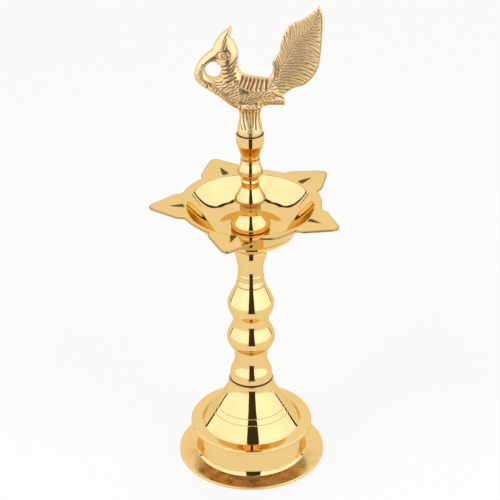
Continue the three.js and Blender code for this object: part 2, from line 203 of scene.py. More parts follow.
# White cloth lit from behind, as bright as the table at its foot, brighter above, and a little uneven
panel_white = glow("panel_white", PANEL_WHITE, PANEL_LIGHT)
tree = panel_white.node_tree
place = node(tree, "TexCoord").outputs["Object"]
height = node(tree, "SeparateXYZ", {0: place}).outputs["Z"]
rise = ranged(tree, height, 0, PANEL_FOOT_RISE, PANEL_FOOT_LIGHT, PANEL_LIGHT,
              interpolation_type="SMOOTHSTEP")
cloth = node(tree, "TexNoise", {"Vector": place, "Scale": PANEL_PATCHES, "Detail": 1})
uneven = ranged(tree, cloth, *PATCH_RANGE, *PANEL_UNEVEN)
wire(tree, "light", {"Strength": node(tree, "Math", {0: rise, 1: uneven}, operation="MULTIPLY")})

room_dark = glow("room_dark", ROOM_BROWN, 1.0)
above_table = 0.2 * MM
spread = np.linspace(-1, 1, OPENING_COLUMNS)
opening = OPENING_MIDDLE + OPENING_HALF_ANGLE * spread
for side, name, start in ((-1, "left", -opening[0]), (1, "right", opening[-1])):
    foot_turns = np.linspace(start, PANEL_END_ANGLE, PANEL_COLUMNS)
    top_turns = np.linspace(start, PANEL_TOP_TURNS[-1], PANEL_COLUMNS)
    rise = np.interp(top_turns, PANEL_TOP_TURNS, PANEL_TOP_RISE)
    above = np.interp(top_turns, PANEL_TOP_TURNS, TOP_SLIT_RISE)
    panel_top = wall_row(side * top_turns, rise)
    screen(f"{name}_panel", wall_row(side * foot_turns), panel_top, panel_white)
    screen(f"{name}_top_slit", panel_top, wall_row(side * top_turns, above), room_dark)
    end = (foot_turns[-1], foot_turns[-1] + SLIT_ANGLE)
    far_end = (top_turns[-1], top_turns[-1] + SLIT_ANGLE)
    screen(f"{name}_slit", wall_row([side * turn for turn in end]),
           wall_row([side * turn for turn in far_end], [rise[-1], above[-1]]), room_dark)
room_rise = np.full(len(opening), TOP_SLIT_RISE[0])
screen("dark_room", wall_row(opening), wall_row(opening, room_rise), room_dark)
screen("dark_floor", [around(turn, TABLE_EDGE, above_table) for turn in opening],
       wall_row(opening, height=above_table), room_dark)
edge_rows = [[around(turn, radius, 1.5 * above_table)
              for turn in OPENING_MIDDLE + TABLE_EDGE_HALF_ANGLE * spread]
             for radius in (TABLE_EDGE, TABLE_EDGE + TABLE_EDGE_WIDTH)]
screen("table_edge", *edge_rows, room_dark)

# Each lamp's angle round the object, its distance, height and size in metres, and its power
for name, angle, distance, height, size, power in (
        ("left_light", -52, 1.1, 1.0, 0.8, 7.0), ("right_light", 48, 1.1, 1.1, 0.8, 6.0),
        ("back_light", 165, 1.0, 1.2, 0.7, 3.0)):
    light = bpy.data.lights.new(name, "AREA")
    light.energy = power
    light.size = size
    piece = link(name, light)
    piece.location = around(angle, distance, height)
    towards = Vector((*AXIS, AIM_HEIGHT)) - piece.location
    piece.rotation_euler = towards.to_track_quat("-Z", "Y").to_euler()
    piece.visible_glossy = False
    piece.visible_camera = False

world = bpy.data.worlds.new("studio")
bpy.context.scene.world = world
world.use_nodes = True
tree = world.node_tree
wire(tree, "Background", {"Color": WHITE, "Strength": AMBIENT})
backdrop = node(tree, "Background", {"Color": WHITE})
mix = node(tree, "MixShader", {0: seen_as_background(tree), 1: tree.nodes["Background"], 2: backdrop})
wire(tree, "World Output", {0: mix})

# Base
# A cast brass foot turned on a lathe: a flange, an upright drum, a rolled bead, and a dome that
# narrows to the stem's seat. It is hollow below, with a boss under the seat for the stem's stud.
FOOT_RADIUS, FOOT_EDGE, FOOT_ROUNDING, FOOT_RISE, FOOT_RING = 38.1, 1.6, 0.5, 0.7, 4.0
DRUM_FOOT_RADIUS, DRUM_TOP_RADIUS, DRUM_HEIGHT = 29.0, 25.6, 15.2
DRUM_FLARE, DRUM_FLARE_HEIGHT = 0.85, 1.25
SCUFF_FINENESS, WEAR_FADE = 150.0, (0.3, 0.1)
BEAD_RADIUS, BEAD_UNDERCUT, BEAD_EDGE = 31.7, 0.4, 0.9
BEAD_CREST_RADIUS, BEAD_CREST = 31.3, 1.2
VALLEY_RADIUS, VALLEY_DEPTH = 25.8, 0.1
SHOULDER_RADIUS, CONE_HEIGHT = 14.9, 16.1
NECK_RADIUS, NECK_HEIGHT, SEAT_CHAMFER = 11.5, 9.6, 0.4
BASE_WALL, BOSS_DEPTH = 2.4, 13.0
STEM_STUD_RADIUS, STUD_CLEARANCE = 4.0, 0.3
STEM_BORE = STEM_STUD_RADIUS + STUD_CLEARANCE
FLANGE_TOP = FOOT_EDGE + FOOT_RISE
DOME_LINES = (30.7, 27.9)
SPECKS_SHOWN, WORN_PATCHES, WORN_ROUGHNESS = (0.66, 0.8), (0.35, 0.68), (0.2, 0.5)
# The dark brown of old polish and soot, also used as painted shade in joints and under edges
TARNISH_AND_SHADE_BROWN, TARNISH_AND_SHADE_ROUGHNESS = (0.13, 0.062, 0.022), 0.5
BRASS_TINT = (0.93, 0.8, 0.55, 1)
# Bright and deep tone, smoothest and roughest polish, and the turning marks' depth in millimetres
POLISH = (0.9, 0.65, 0.275), (0.85, 0.575, 0.215), 0.045, 0.16, 0.0012

# How the radius and the height run along one curved stretch of an outline, for t from 0 to 1
QUARTER = math.pi / 2
STRETCHES = {
    "ease": lambda t: ((1 - np.cos(math.pi * t)) / 2, t),
    "to_upright": lambda t: (np.sin(QUARTER * t), t),
    "from_upright": lambda t: (1 - np.cos(QUARTER * t), t),
    "upright_to_level": lambda t: (1 - np.cos(QUARTER * t), np.sin(QUARTER * t)),
    "level_to_upright": lambda t: (np.sin(QUARTER * t), 1 - np.cos(QUARTER * t)),
}


def evenly(points, spacing):
    """Points at an even spacing along a line."""
    steps = np.hypot(*np.diff(points, axis=0).T)
    length = np.concatenate([[0], np.cumsum(steps)])
    keep = np.concatenate([[True], steps > 1e-9])
    wanted = np.linspace(0, length[-1], max(2, int(length[-1] / spacing)))
    return np.stack([np.interp(wanted, length[keep], points[keep, k]) for k in (0, 1)], axis=1)


def eased(points, spacing, rounding):
    """Takes the sharpness off the corners, as polishing does, and leaves both ends where they are."""
    reach = int(4 * rounding / spacing) + 1
    kernel = np.exp(-0.5 * (np.arange(-reach, reach + 1) * spacing / rounding) ** 2)
    kernel /= kernel.sum()
    before = 2 * points[0] - points[reach:0:-1]
    after = 2 * points[-1] - points[-2:-reach - 2:-1]
    padded = np.concatenate([before, points, after])
    return np.stack([np.convolve(padded[:, k], kernel, "valid") for k in (0, 1)], axis=1)


def thinned(points, turn=math.radians(5), longest=1.4):
    """Leaves out points along straight stretches, where a polished curve needs few."""
    heading = np.unwrap(np.arctan2(*np.diff(points, axis=0).T[::-1]))
    kept, turned_by, gone = [0], 0.0, 0.0
    for i in range(1, len(points) - 1):
        turned_by += abs(heading[i] - heading[i - 1])
        gone += math.dist(points[i], points[i - 1])
        if turned_by > turn or gone > longest:
            kept.append(i)
            turned_by = gone = 0.0
    return points[kept + [len(points) - 1]]


def outline(start, *stretches, rounding=0.16, spacing=0.05):
    """A turned outline in millimetres. Each stretch gives the radius that it runs to and how far it rises,
    after its form where it isn't straight."""
    points = [start]
    for *form, radius, rise in stretches:
        first = points[-1]
        count = max(1, int(math.hypot(radius - first[0], rise) / spacing)) if form else 1
        for t in np.arange(1, count + 1) / count:
            across, up = STRETCHES[form[0]](t) if form else (t, t)
            points.append((first[0] + (radius - first[0]) * across, first[1] + rise * up))
    return thinned(eased(evenly(np.array(points, float), spacing), spacing, rounding))


def incise(points, height, width=0.3, depth=0.12):
    """Cuts a fine line into the outside of an outline where it passes a height."""
    dense = evenly(points, width / 6)
    heading = np.gradient(dense, axis=0)
    heading /= np.linalg.norm(heading, axis=1)[:, None]
    level = np.abs(dense[:, 1] - height) < 1.5 * width
    near = level & (dense[:, 0] > np.median(dense[level, 0]))
    inward = np.stack([-heading[:, 1], heading[:, 0]], axis=1)
    away = np.where(near, dense[:, 1] - height, 1e3)
    cut = dense + inward * (depth * np.exp(-(away / (width / 2)) ** 2))[:, None]
    first, last = np.flatnonzero(near)[[0, -1]]
    return np.concatenate([thinned(cut[:first + 1]), cut[first + 1:last], thinned(cut[last:])])


def node_group(name, kind, inputs, outputs):
    """A new group and its inputs. Each socket is given by a name, a kind and, maybe, a starting value."""
    group = bpy.data.node_groups.new(name, kind)
    for way, sockets in (("INPUT", inputs), ("OUTPUT", outputs)):
        for label, holds, *start in sockets:
            socket = group.interface.new_socket(label, in_out=way, socket_type="NodeSocket" + holds)
            if start:
                socket.default_value = start[0]
    return group, node(group, "NodeGroupInput").outputs


def turned_tree():
    """Turns an outline about an upright axis, with a screw thread on it where one is asked for."""
    tree, given = node_group(
        "turned_piece", "GeometryNodeTree",
        [("Outline", "Geometry"), ("Sides", "Int"), ("Axis", "Vector"), ("Thread Pitch", "Float"),
         ("Thread Depth", "Float"), ("Material", "Material")],
        [("Turned", "Geometry")])

    def maths(operation, a, b=0.5):
        return node(tree, "Math", {0: a, 1: b}, operation=operation)

    size = node(tree, "GeometryNodeAttributeDomainSize", {"Geometry": given["Outline"]})
    count = size.outputs["Point Count"]
    across = maths("ADD", given["Sides"], 1)
    grid = node(tree, "GeometryNodeMeshGrid", {"Vertices X": across, "Vertices Y": count})
    index = node(tree, "GeometryNodeInputIndex")
    row = maths("MODULO", index, count)
    column = maths("FLOOR", maths("DIVIDE", maths("ADD", index, 0.5), count))

    def from_outline(field, holds):
        inputs = {"Geometry": given["Outline"], "Value": field, "Index": row}
        return node(tree, "GeometryNodeSampleIndex", inputs, data_type=holds)

    position = node(tree, "GeometryNodeInputPosition")
    place = node(tree, "SeparateXYZ", {0: from_outline(position, "FLOAT_VECTOR")}).outputs
    darkening = node(tree, "GeometryNodeInputNamedAttribute", {"Name": "tarnish_and_shade"})
    share = maths("DIVIDE", column, given["Sides"])
    angle = maths("MULTIPLY", share, 2 * math.pi)
    # A thread's crest climbs one pitch for each turn, and its depth is marked in the outline's Y
    climb = maths("SUBTRACT", maths("DIVIDE", place["Z"], given["Thread Pitch"]), share)
    tooth = maths("PINGPONG", maths("ADD", climb, 1000.0), 0.5)
    bite = maths("MULTIPLY", maths("MULTIPLY", tooth, 2.0), given["Thread Depth"])
    radius = maths("SUBTRACT", place["X"], maths("MULTIPLY", bite, place["Y"]))
    turned_place = node(tree, "CombineXYZ", {
        "X": maths("MULTIPLY", radius, maths("COSINE", angle)),
        "Y": maths("MULTIPLY", radius, maths("SINE", angle)), "Z": place["Z"]})
    shift = node(tree, "VectorMath", {0: turned_place, 1: given["Axis"]})
    made = grid
    for kind, inputs in (
            ("GeometryNodeSetPosition", {"Position": shift}),
            ("GeometryNodeStoreNamedAttribute",
             {"Name": "tarnish_and_shade", "Value": from_outline(darkening, "FLOAT")}),
            ("GeometryNodeMergeByDistance", {"Distance": 2e-6}),
            ("GeometryNodeSetShadeSmooth", {}),
            ("GeometryNodeRealizeInstances", {}),
            ("GeometryNodeSetMaterial", {"Material": given["Material"]})):
        made = node(tree, kind, {"Geometry": made, **inputs})
    node(tree, "NodeGroupOutput", {0: made})
    return tree


TURNED_TREE = turned_tree()


def baked(piece):
    """Keeps what a piece's modifiers make of it, and takes the modifiers off."""
    graph = bpy.context.evaluated_depsgraph_get()
    mesh = bpy.data.meshes.new_from_object(piece.evaluated_get(graph))
    piece.modifiers.clear()
    piece.data = mesh
    mesh.name = piece.name


def stain(mesh, name, values):
    """Stores one number for each point of a mesh, for its material to read."""
    mesh.attributes.new(name, "FLOAT", "POINT").data.foreach_set("value", np.asarray(values, np.float32))


def turned(name, points, seat, material, sides, pitch=1.0, depth=0.0, threaded=None, lines=()):
    """A turned piece from an outline in millimetres, standing on a seat height in metres. Its lines are
    darkened, each given by a height, a width and a strength: old polish in fine cut lines, and painted
    shade in joints and under overhangs."""
    marks = np.zeros(len(points)) if threaded is None else threaded
    places = [(r * MM, mark, seat + z * MM) for (r, z), mark in zip(points, marks)]
    mesh = new_mesh(name + "_outline", places)
    darkening = np.zeros(len(points))
    for height, width, strength in lines:
        darkening = np.maximum(darkening, strength * np.exp(-((points[:, 1] - height) / (width / 2)) ** 2))
    stain(mesh, "tarnish_and_shade", darkening)
    piece = link(name, mesh)
    modifier = piece.modifiers.new("turned", "NODES")
    modifier.node_group = TURNED_TREE
    values = {"Sides": sides, "Axis": (*AXIS, 0.0), "Thread Pitch": pitch * MM, "Thread Depth": depth * MM,
              "Material": material}
    for socket in TURNED_TREE.interface.items_tree:
        if socket.name in values:
            modifier[socket.identifier] = values[socket.name]
    baked(piece)
    return piece


def finished(piece, body):
    """Fixes a finished piece to its body in place of the frame's own solid."""
    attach(piece, body)
    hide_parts(body)


# Slow drifts between two tones of brass, and fine specks of tarnish
BRASS_TONE, given = node_group(
    "brass_tone", "ShaderNodeTree",
    [("Vector", "Vector"), ("Bright", "Color"), ("Deep", "Color"), ("Drift", "Float", 60.0),
     ("Specks", "Float", 900.0)],
    [("Color", "Color"), ("Roughening", "Float")])
drift = node(BRASS_TONE, "TexNoise", {"Vector": given["Vector"], "Scale": given["Drift"], "Detail": 3})
tones = {"Factor": drift, "A": given["Deep"], "B": given["Bright"]}
tone = node(BRASS_TONE, "Mix", tones, data_type="RGBA")
specks = node(BRASS_TONE, "TexNoise", {"Vector": given["Vector"], "Scale": given["Specks"], "Detail": 2})
few = ranged(BRASS_TONE, specks, *SPECKS_SHOWN)
node(BRASS_TONE, "NodeGroupOutput", {"Color": tone.outputs["Result"], "Roughening": few})

# Fine rings that the polishing cloth leaves round a turned piece, drawn by height and radius
TURNING_MARKS, given = node_group(
    "turning_marks", "ShaderNodeTree",
    [("Vector", "Vector"), ("Fineness", "Float", 2600.0)],
    [("Height", "Float")])
parts = node(TURNING_MARKS, "SeparateXYZ", {0: given["Vector"]}).outputs
flat = node(TURNING_MARKS, "CombineXYZ", {"X": parts["X"], "Y": parts["Y"]})
radius = node(TURNING_MARKS, "VectorMath", {0: flat}, operation="LENGTH").outputs["Value"]
along = node(TURNING_MARKS, "Math", {0: radius, 1: parts["Z"]})
rings = node(TURNING_MARKS, "TexNoise", {"W": along, "Scale": given["Fineness"], "Detail": 3},
             noise_dimensions="1D")
node(TURNING_MARKS, "NodeGroupOutput", {"Height": rings})

# Old polish and soot, and painted shade in joints and under edges, that dull a metal to dark brown, as much
# as an amount says
TARNISH_AND_SHADE_FILM, given = node_group(
    "tarnish_and_shade_film", "ShaderNodeTree",
    [("Color", "Color"), ("Roughness", "Float", 0.1), ("Amount", "Float", 0.0)],
    [("Color", "Color"), ("Roughness", "Float")])
amount, brown = given["Amount"], (*TARNISH_AND_SHADE_BROWN, 1)
colour = node(TARNISH_AND_SHADE_FILM, "Mix", {"Factor": amount, "A": given["Color"], "B": brown}, data_type="RGBA")
dull = node(TARNISH_AND_SHADE_FILM, "Mix", {"Factor": amount, "A": given["Roughness"], "B": TARNISH_AND_SHADE_ROUGHNESS})
node(TARNISH_AND_SHADE_FILM, "NodeGroupOutput", {"Color": colour.outputs["Result"], "Roughness": dull})


def object_place(tree):
    """Object coordinates, centred on the lamp's axis."""
    place = node(tree, "TexCoord").outputs["Object"]
    return node(tree, "Mapping", {"Location": (-AXIS[0], -AXIS[1], 0), "Vector": place})


def brass(name, bright, deep, smoothest, roughest, marks=0.0, drift=60.0):
    """A brass with drifting tone, old polish and painted shade in its hollows and joints and, where it is
    turned, fine rings.
    """
    material, tree = new_material(name)
    place = object_place(tree)
    tones = {"Vector": place, "Bright": (*bright, 1), "Deep": (*deep, 1), "Drift": drift}
    tone = node(tree, "Group", tones, node_tree=BRASS_TONE).outputs
    rough = ranged(tree, tone["Roughening"], 0, 1, smoothest, roughest)
    darkening = node(tree, "Attribute", attribute_name="tarnish_and_shade").outputs["Fac"]
    film = node(tree, "Group", {"Color": tone["Color"], "Roughness": rough, "Amount": darkening},
                node_tree=TARNISH_AND_SHADE_FILM, name="film").outputs
    wire(tree, "Principled BSDF", {"Metallic": 1.0, "Specular Tint": BRASS_TINT,
                                   "Base Color": film["Color"], "Roughness": film["Roughness"]})
    if marks:
        rings = node(tree, "Group", {"Vector": place}, node_tree=TURNING_MARKS)
        bump = node(tree, "Bump", {"Distance": marks * MM, "Height": rings})
        wire(tree, "Principled BSDF", {"Normal": bump})
    return material


polished_brass = brass("polished_brass", *POLISH)

base_outline = [
    ("level_to_upright", FOOT_RADIUS, FOOT_ROUNDING),
    (FOOT_RADIUS, FOOT_EDGE - 2 * FOOT_ROUNDING),
    ("upright_to_level", FOOT_RADIUS - FOOT_ROUNDING, FOOT_ROUNDING),
    (DRUM_FOOT_RADIUS, FOOT_RISE),
    (DRUM_FOOT_RADIUS - DRUM_FLARE, DRUM_FLARE_HEIGHT),
    ("to_upright", DRUM_TOP_RADIUS, DRUM_HEIGHT - DRUM_FLARE_HEIGHT),
    (BEAD_RADIUS - BEAD_UNDERCUT, BEAD_UNDERCUT),
    ("level_to_upright", BEAD_RADIUS, BEAD_UNDERCUT),
    (BEAD_RADIUS, BEAD_EDGE - BEAD_UNDERCUT),
    ("upright_to_level", BEAD_CREST_RADIUS, BEAD_CREST),
    (VALLEY_RADIUS, -VALLEY_DEPTH),
]
valley = sum(rise for *form, radius, rise in base_outline)
cone_slope = (VALLEY_RADIUS - SHOULDER_RADIUS) / CONE_HEIGHT
dome_inset = BASE_WALL * math.hypot(1, cone_slope)
drum_inside = DRUM_TOP_RADIUS - BASE_WALL
foot_inside = DRUM_FOOT_RADIUS - DRUM_FLARE - BASE_WALL
drum_ceiling = valley + (VALLEY_RADIUS - dome_inset - drum_inside) / cone_slope
base_seat = valley + CONE_HEIGHT + NECK_HEIGHT + SEAT_CHAMFER
boss_foot = base_seat - BOSS_DEPTH
boss_radius = VALLEY_RADIUS - dome_inset - (boss_foot - valley) * cone_slope
base_points = outline(
    (FOOT_RADIUS - FOOT_RING, 0), (FOOT_RADIUS - FOOT_ROUNDING, 0), *base_outline,
    (SHOULDER_RADIUS, CONE_HEIGHT),
    ("to_upright", NECK_RADIUS, NECK_HEIGHT),
    (NECK_RADIUS - SEAT_CHAMFER, SEAT_CHAMFER),
    (STEM_BORE, 0),
    (STEM_BORE, -BOSS_DEPTH),
    (boss_radius, 0),
    (drum_inside, drum_ceiling - boss_foot),
    (foot_inside, BASE_WALL / 2 - drum_ceiling),
    (foot_inside + BASE_WALL / 2, -BASE_WALL / 2),
    (FOOT_RADIUS - FOOT_RING, 0))
for line_height in DOME_LINES:
    base_points = incise(base_points, line_height)
bead_root = valley - BEAD_CREST - BEAD_EDGE
# Darkened rings, each with its height, its width and how dark it is: old polish in the two cut lines,
# painted shade under the bead and in the joint at the stem's seat, and a darker ring at the dome's foot
base_lines = [(height, 0.25, 0.35) for height in DOME_LINES]
base_lines += [(bead_root, 0.5, 0.9), (valley + 0.45, 0.35, 0.8), (base_seat, 0.8, 1.0)]

# The flange lies low and is handled and scoured most, so its polish is dull in patches
worn_brass = brass("worn_brass", *POLISH)
tree = worn_brass.node_tree
place = object_place(tree)
scuffs = node(tree, "TexNoise",
              {"Vector": place, "Scale": SCUFF_FINENESS, "Detail": 5, "Roughness": 0.65})
patch = ranged(tree, scuffs, *WORN_PATCHES, *WORN_ROUGHNESS)
height = node(tree, "SeparateXYZ", {0: place}).outputs["Z"]
low_down = ranged(tree, height, *((FLANGE_TOP + above) * MM for above in WEAR_FADE))
clean = tree.nodes["film"].inputs["Roughness"].links[0].from_socket
dulled = node(tree, "Mix", {"Factor": low_down, "A": clean, "B": patch})
wire(tree, "film", {"Roughness": dulled})
finished(turned("turned_base", base_points, 0.0, worn_brass, sides=128, lines=base_lines),
         "base")

# Studs
# Each joint of the lamp is a short brass stud with a real right-hand thread, sunk in the pieces
# above and below it, so that the lamp unscrews into its five castings.
CENTRE_STUD_RADIUS, BIRD_STUD_RADIUS = 3.0, 2.5
STEM_PITCH, CENTRE_PITCH, BIRD_PITCH = 1.25, 1.0, 0.8
CENTRE_BORE = CENTRE_STUD_RADIUS + STUD_CLEARANCE
BIRD_BORE = BIRD_STUD_RADIUS + STUD_CLEARANCE
THREAD_DEPTH_SHARE, THREAD_ROWS = 0.5, 10
stud_brass = brass("stud_brass", (0.66, 0.47, 0.2), (0.55, 0.38, 0.15), 0.24, 0.42, marks=0.004)


def stud(name, radius, chamfer, pitch):
    """A stud whose thread runs out towards both ends."""
    low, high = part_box(name)
    length = (high.z - low.z) / MM
    heights = np.arange(chamfer, length - chamfer + 1e-6, pitch / THREAD_ROWS)
    ends = [(0, 0), (radius - chamfer, 0)], [(radius - chamfer, length), (0, length)]
    points = np.array(ends[0] + [(radius, z) for z in heights] + ends[1])
    run_out = np.clip(np.minimum(points[:, 1] - chamfer, length - chamfer - points[:, 1]) / pitch, 0, 1)
    marks = np.where(points[:, 0] >= radius, run_out, 0)
    depth = pitch * THREAD_DEPTH_SHARE
    piece = turned("threaded_" + name, points, low.z, stud_brass, 48, pitch, depth, marks)
    finished(piece, name)


stud("stem_stud", STEM_STUD_RADIUS, chamfer=0.6, pitch=STEM_PITCH)
stud("centre_stud", CENTRE_STUD_RADIUS, chamfer=0.5, pitch=CENTRE_PITCH)
stud("bird_stud", BIRD_STUD_RADIUS, chamfer=0.4, pitch=BIRD_PITCH)

# Stem
# A solid brass column turned between centres: a collar, a waist, two round bulbs, a taper with two
# thin rings, and a flared neck that carries the dish. Its foot and head are drilled for the studs.
EDGE = 0.3
STEM_FOOT_RADIUS, STEM_HEAD_RADIUS = 11.2, 8.2
SEAT_GROOVE, SEAT_GROOVE_DEPTH = 0.7, 0.9
STEM_LOWER_DEPTH, STEM_UPPER_DEPTH = 13.5, 13.0
stem_points = outline(
    (0, STEM_LOWER_DEPTH),
    (STEM_BORE, 0),
    (STEM_BORE, -STEM_LOWER_DEPTH),
    (STEM_FOOT_RADIUS - SEAT_GROOVE_DEPTH, 0),
    (STEM_FOOT_RADIUS - SEAT_GROOVE_DEPTH, SEAT_GROOVE / 2),
    (STEM_FOOT_RADIUS, SEAT_GROOVE / 2),
    (10.6, 5.0 - SEAT_GROOVE),
    (9.9, 1.6),
    ("to_upright", 8.4, 6.0),
    ("from_upright", 9.3, 6.2),
    (10.6, 1.0),
    ("to_upright", 12.35, 4.9),
    (12.33, 0.8),
    ("ease", 9.38, 9.2),
    (9.35, 0.9),
    ("ease", 11.95, 8.8),
    (11.93, 0.9),
    ("from_upright", 11.0, 3.3),
    (7.55, 7.4),
    (7.5, 1.1),
    (6.75, 2.4),
    (6.75, 2.5),
    (6.45, 1.0),
    (6.4, 1.4),
    ("from_upright", STEM_HEAD_RADIUS, 9.4),
    (STEM_HEAD_RADIUS, 3.2 - EDGE),
    (STEM_HEAD_RADIUS - EDGE, EDGE),
    (CENTRE_BORE, 0),
    (CENTRE_BORE, -STEM_UPPER_DEPTH),
    (0, 0))
# Darkened rings, each a height, a width and a strength: the one at the foot is painted shade in the joint
# with the base; the others darken the step under the lower bulb and the thin rings and turned lines
STEM_LINES = [(0.0, 0.8, 1.0), (19.0, 0.4, 0.7), (27.6, 0.25, 0.5), (47.4, 0.25, 0.4),
              (56.2, 0.3, 0.4), (59.6, 0.25, 0.35), (62.0, 0.25, 0.35)]
finished(turned("turned_stem", stem_points, base_seat * MM, polished_brass, sides=96, lines=STEM_LINES),
         "stem")

# Dish
# A bowl turned inside and out and cast in one with a thin lip, which runs out into five points. Each
# point has a wick groove cut across it from the bowl's edge, black with burnt oil.
DISH_SEAT_RADIUS, DISH_CONE_RADIUS, DISH_CONE_HEIGHT = 8.3, 22.4, 10.2
FLOOR_THICKNESS, FLOOR_RADIUS, BOWL_DEPTH = 12.0, 19.5, 13.9
FLAT_FLOOR_RADIUS, WALL_FOOT_RADIUS = 17.0, 22.0
MOUTH_RADIUS, MOUTH_EASE, MOUTH_FLAT, DISH_WALL, LIP_THICKNESS = 32.8, 1.0, 1.9, 2.4, 1.1
POINTS, FIRST_POINT_ANGLE, RIM_RADIUS = 5, 184.2, 35.6
POINT_TURN, EDGE_SOFTENING, ROW_BUNCHING = 360 / POINTS, 6, 0.8
POINT_RADIUS, TIP_LENGTH, HALF_TIP = 50.3, 1.5, 2.8
STAR_SHOULDER_RADIUS, HALF_SHOULDER, HALF_ROOT = 37.5, 11.75, 12.8
GROOVE_LENGTH, GROOVE_WIDTH, GROOVE_DEPTH, GROOVE_START = 9.0, 4.0, 1.0, 33.6
GROOVE_ENTRY, GROOVE_FLOOR, SOOT_SPREAD, SOOT_DARKNESS = 0.8, 0.75, 3.5, 0.95
LIP_ROUNDING, LIP_ROWS, UNDERSIDE_ROWS, ROUNDING_STEP = 0.3, 34, 16, 15
# How dark the painted shade on the lip's rounded edge is
PAINTED_EDGE_SHADE = 0.5
FRONT_TURN, FRONT_SPREAD, FRONT_FULLNESS = 289.0, 10.0, 1.9

dish_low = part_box("dish")[0].z
lip_top = FLOOR_THICKNESS + BOWL_DEPTH
wall_slope = (MOUTH_RADIUS - FLOOR_RADIUS) / BOWL_DEPTH
wall_inset = DISH_WALL * math.hypot(1, wall_slope)
knee = lip_top - (MOUTH_RADIUS + wall_inset - DISH_CONE_RADIUS) / wall_slope


def bent(start, corner, end, steps):
    """A curve from start to end that sets out towards the corner between them."""
    t = np.linspace(0, 1, steps)[:, None]
    return start * (1 - t) ** 2 + 2 * corner * t * (1 - t) + end * t ** 2


def half_star(steps=24):
    """One side of a point of the star, as angles in degrees from the point's axis and radii."""
    blend = np.linspace(0, 1, steps)[:, None]
    tip = np.array([(POINT_RADIUS, 0), (POINT_RADIUS, HALF_TIP / 2), (POINT_RADIUS - TIP_LENGTH, HALF_TIP)])
    root = (math.sqrt(RIM_RADIUS ** 2 - HALF_ROOT ** 2), HALF_ROOT)
    corners = [tip[2], (STAR_SHOULDER_RADIUS, HALF_SHOULDER), root]
    sides = [a + (np.array(b) - a) * blend for a, b in zip(corners, corners[1:])]
    path = np.concatenate([bent(*tip, steps), *sides])
    return np.degrees(np.arctan2(path[:, 1], path[:, 0])), np.hypot(*path.T)


def star_columns():
    """Angles round one point, close together at the tip and the groove."""
    half = np.concatenate([np.arange(0, 5, 0.3), np.arange(5, 16.5, 0.9), np.arange(16.5, 22.5, 0.5),
                           np.linspace(22.5, POINT_TURN / 2, 11)])
    return np.concatenate([-half[:0:-1], half[:-1]])


def star_reach(angles):
    """How far out the star's edge is at some angles from a point's axis, and how fast that changes."""
    turns, radii = half_star()
    fine = np.arange(-40, 40, 0.05)
    folded = np.abs((fine + POINT_TURN / 2) % POINT_TURN - POINT_TURN / 2)
    reach = np.interp(folded, turns, radii, right=RIM_RADIUS)
    kernel = np.hanning(2 * EDGE_SOFTENING + 1)
    softened = np.convolve(np.pad(reach, EDGE_SOFTENING, "edge"), kernel / kernel.sum(), "valid")
    slant = np.gradient(softened, np.radians(fine))
    return np.interp(angles, fine, softened), np.interp(angles, fine, slant)


# The dish's section under its lip, and from its mouth down into the bowl
section_below = outline(
    (CENTRE_BORE, FLOOR_THICKNESS),
    (CENTRE_BORE, -FLOOR_THICKNESS),
    (DISH_SEAT_RADIUS, 0),
    (DISH_CONE_RADIUS, DISH_CONE_HEIGHT),
    (DISH_CONE_RADIUS, knee - DISH_CONE_HEIGHT),
    (MOUTH_RADIUS + wall_inset - LIP_THICKNESS * wall_slope - LIP_ROUNDING,
     lip_top - LIP_THICKNESS - knee))
start = np.array([MOUTH_RADIUS - wall_slope * MOUTH_EASE, lip_top - MOUTH_EASE])
foot = np.array([WALL_FOOT_RADIUS, FLOOR_THICKNESS])
end = np.array([FLAT_FLOOR_RADIUS, FLOOR_THICKNESS])
wall = bent(start, foot, end, 120)
mouth = np.array([(MOUTH_RADIUS + MOUTH_FLAT, lip_top), (MOUTH_RADIUS + MOUTH_EASE, lip_top)])
bowl = np.concatenate([mouth, wall, [(CENTRE_BORE, FLOOR_THICKNESS)]])
section_inside = thinned(eased(evenly(bowl, 0.05), 0.05, 0.4))

columns = star_columns()
turns = FIRST_POINT_ANGLE + np.concatenate([columns + POINT_TURN * i for i in range(POINTS)])
reach, slant = (np.tile(values, POINTS) for values in star_reach(columns))
reach = reach + FRONT_FULLNESS * np.exp(-((turns - FRONT_TURN) / FRONT_SPREAD) ** 2)
overhang = LIP_ROUNDING * np.hypot(1, slant / reach)
angle = np.radians(turns)
own_angle = np.radians(np.tile(columns, POINTS))
radii, heights = [], []


def row(radius, height):
    radii.append(np.broadcast_to(radius, turns.shape))
    heights.append(np.full(turns.shape, height))


for radius, height in section_below:
    row(radius, height)
inner = section_below[-1][0]
underside = lip_top - LIP_THICKNESS
for share in np.linspace(0, 1, UNDERSIDE_ROWS)[1:]:
    row(inner + (reach - overhang - inner) * share, underside)
for turn in np.radians(np.arange(ROUNDING_STEP, 91, ROUNDING_STEP)):
    row(reach - overhang * (1 - math.sin(turn)), underside + LIP_ROUNDING * (1 - math.cos(turn)))
for turn in np.radians(np.arange(90, -1, -ROUNDING_STEP)):
    row(reach - overhang * (1 - math.sin(turn)), lip_top - LIP_ROUNDING * (1 - math.cos(turn)))
outer = section_inside[0][0]
for share in np.linspace(0, 1, LIP_ROWS)[1:-1]:
    row(reach - overhang + (outer - reach + overhang) * share ** ROW_BUNCHING, lip_top)
for radius, height in section_inside[:-1]:
    row(radius, height)
radius, height = np.array(radii), np.array(heights)

